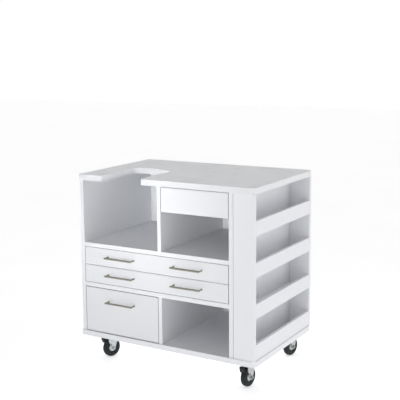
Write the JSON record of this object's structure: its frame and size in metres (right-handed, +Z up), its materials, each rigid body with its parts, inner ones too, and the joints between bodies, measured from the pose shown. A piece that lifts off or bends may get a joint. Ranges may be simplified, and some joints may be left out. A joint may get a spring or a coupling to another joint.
{
  "type": "sewing table",
  "caption": "White sewing and embroidery machine table with a notched worktop, open bay, inset drawers, cubbies, an end rack for thread cones and swivel casters.",
  "frame": {"origin": "on the floor, under the middle of the bounding box", "axes": "+X to the right end with the thread rack, -Y to the front with the drawers, +Z up"},
  "size_m": [0.828, 0.574, 0.793],
  "materials": {
    "worktop_laminate": "satin white melamine",
    "carcass_laminate": "satin white melamine",
    "drawer_front_laminate": "satin white melamine",
    "drawer_box_board": "matte white board",
    "slide_steel": "zinc plated",
    "pull_nickel": "satin nickel",
    "caster_zinc": "bright zinc plated",
    "caster_hub": "light grey",
    "caster_tyre": "dark grey",
    "pedal_black": "black"
  },
  "bodies": {
    "cabinet": {"worktop": "worktop_laminate", "base_panel": "carcass_laminate", "left_side_panel": "carcass_laminate", "right_body_panel": "carcass_laminate", "back_panel": "carcass_laminate", "bay_shelf": "carcass_laminate", "middle_shelf": "carcass_laminate", "upper_divider": "carcass_laminate", "lower_divider": "carcass_laminate", "thread_rack_front_board": "carcass_laminate", "thread_rack_back_board": "carcass_laminate", "thread_rack_shelves": "carcass_laminate", "thread_rack_lip_1": "carcass_laminate", "thread_rack_lip_2": "carcass_laminate", "thread_rack_lip_3": "carcass_laminate", "thread_rack_lip_4": "carcass_laminate", "drawer_slide_cabinet_members": "slide_steel", "caster_plates": "caster_zinc", "caster_plate_screws": "caster_zinc"},
    "upper_drawer": {"upper_drawer_front": "drawer_front_laminate", "upper_drawer_sides": "drawer_box_board", "upper_drawer_back": "drawer_box_board", "upper_drawer_bottom": "drawer_box_board", "upper_drawer_slide_members": "slide_steel"},
    "high_shallow_drawer": {"high_shallow_drawer_front": "drawer_front_laminate", "high_shallow_drawer_sides": "drawer_box_board", "high_shallow_drawer_back": "drawer_box_board", "high_shallow_drawer_bottom": "drawer_box_board", "high_shallow_drawer_slide_members": "slide_steel", "high_shallow_drawer_pulls": "pull_nickel"},
    "low_shallow_drawer": {"low_shallow_drawer_front": "drawer_front_laminate", "low_shallow_drawer_sides": "drawer_box_board", "low_shallow_drawer_back": "drawer_box_board", "low_shallow_drawer_bottom": "drawer_box_board", "low_shallow_drawer_slide_members": "slide_steel", "low_shallow_drawer_pulls": "pull_nickel"},
    "file_drawer": {"file_drawer_front": "drawer_front_laminate", "file_drawer_sides": "drawer_box_board", "file_drawer_back": "drawer_box_board", "file_drawer_bottom": "drawer_box_board", "file_drawer_slide_members": "slide_steel", "file_drawer_pull": "pull_nickel"},
    "front_left_swivel": {"front_left_fork": "caster_zinc", "front_left_axle": "caster_zinc"},
    "front_left_wheel": {"front_left_hub": "caster_hub", "front_left_tyre": "caster_tyre"},
    "front_left_pedal": {"front_left_brake_pedal": "pedal_black"},
    "front_right_swivel": {"front_right_fork": "caster_zinc", "front_right_axle": "caster_zinc"},
    "front_right_wheel": {"front_right_hub": "caster_hub", "front_right_tyre": "caster_tyre"},
    "front_right_pedal": {"front_right_brake_pedal": "pedal_black"},
    "back_left_swivel": {"back_left_fork": "caster_zinc", "back_left_axle": "caster_zinc"},
    "back_left_wheel": {"back_left_hub": "caster_hub", "back_left_tyre": "caster_tyre"},
    "back_right_swivel": {"back_right_fork": "caster_zinc", "back_right_axle": "caster_zinc"},
    "back_right_wheel": {"back_right_hub": "caster_hub", "back_right_tyre": "caster_tyre"}
  },
  "joints": [
    {"name": "upper_drawer_slide", "type": "slide", "parent": "cabinet", "child": "upper_drawer", "axis": [0, -1, 0], "range_m": [0, 0.36]},
    {"name": "high_shallow_drawer_slide", "type": "slide", "parent": "cabinet", "child": "high_shallow_drawer", "axis": [0, -1, 0], "range_m": [0, 0.36]},
    {"name": "low_shallow_drawer_slide", "type": "slide", "parent": "cabinet", "child": "low_shallow_drawer", "axis": [0, -1, 0], "range_m": [0, 0.36]},
    {"name": "file_drawer_slide", "type": "slide", "parent": "cabinet", "child": "file_drawer", "axis": [0, -1, 0], "range_m": [0, 0.36]},
    {"name": "front_left_swivel_turn", "type": "hinge", "parent": "cabinet", "child": "front_left_swivel", "pos_m": [-0.287, -0.182, 0.093], "axis": [0, 0, 1], "continuous": true},
    {"name": "front_left_wheel_spin", "type": "hinge", "parent": "front_left_swivel", "child": "front_left_wheel", "pos_m": [-0.29811, -0.21094, 0.04], "axis": [0.9336, -0.3584, 0], "continuous": true},
    {"name": "front_left_pedal_press", "type": "hinge", "parent": "front_left_swivel", "child": "front_left_pedal", "pos_m": [-0.30205, -0.22121, 0.056], "axis": [0.9336, -0.3584, 0], "range_deg": [0, 15]},
    {"name": "front_right_swivel_turn", "type": "hinge", "parent": "cabinet", "child": "front_right_swivel", "pos_m": [0.369, -0.191, 0.093], "axis": [0, 0, 1], "continuous": true},
    {"name": "front_right_wheel_spin", "type": "hinge", "parent": "front_right_swivel", "child": "front_right_wheel", "pos_m": [0.36469, -0.2217, 0.04], "axis": [0.9903, -0.1392, 0], "continuous": true},
    {"name": "front_right_pedal_press", "type": "hinge", "parent": "front_right_swivel", "child": "front_right_pedal", "pos_m": [0.36316, -0.23259, 0.056], "axis": [0.9903, -0.1392, 0], "range_deg": [0, 15]},
    {"name": "back_left_swivel_turn", "type": "hinge", "parent": "cabinet", "child": "back_left_swivel", "pos_m": [-0.287, 0.206, 0.093], "axis": [0, 0, 1], "continuous": true},
    {"name": "back_left_wheel_spin", "type": "hinge", "parent": "back_left_swivel", "child": "back_left_wheel", "pos_m": [-0.287, 0.175, 0.04], "axis": [1, 0, 0], "continuous": true},
    {"name": "back_right_swivel_turn", "type": "hinge", "parent": "cabinet", "child": "back_right_swivel", "pos_m": [0.369, 0.215, 0.093], "axis": [0, 0, 1], "continuous": true},
    {"name": "back_right_wheel_spin", "type": "hinge", "parent": "back_right_swivel", "child": "back_right_wheel", "pos_m": [0.36203, 0.18479, 0.04], "axis": [0.9744, -0.225, 0], "continuous": true}
  ]
}
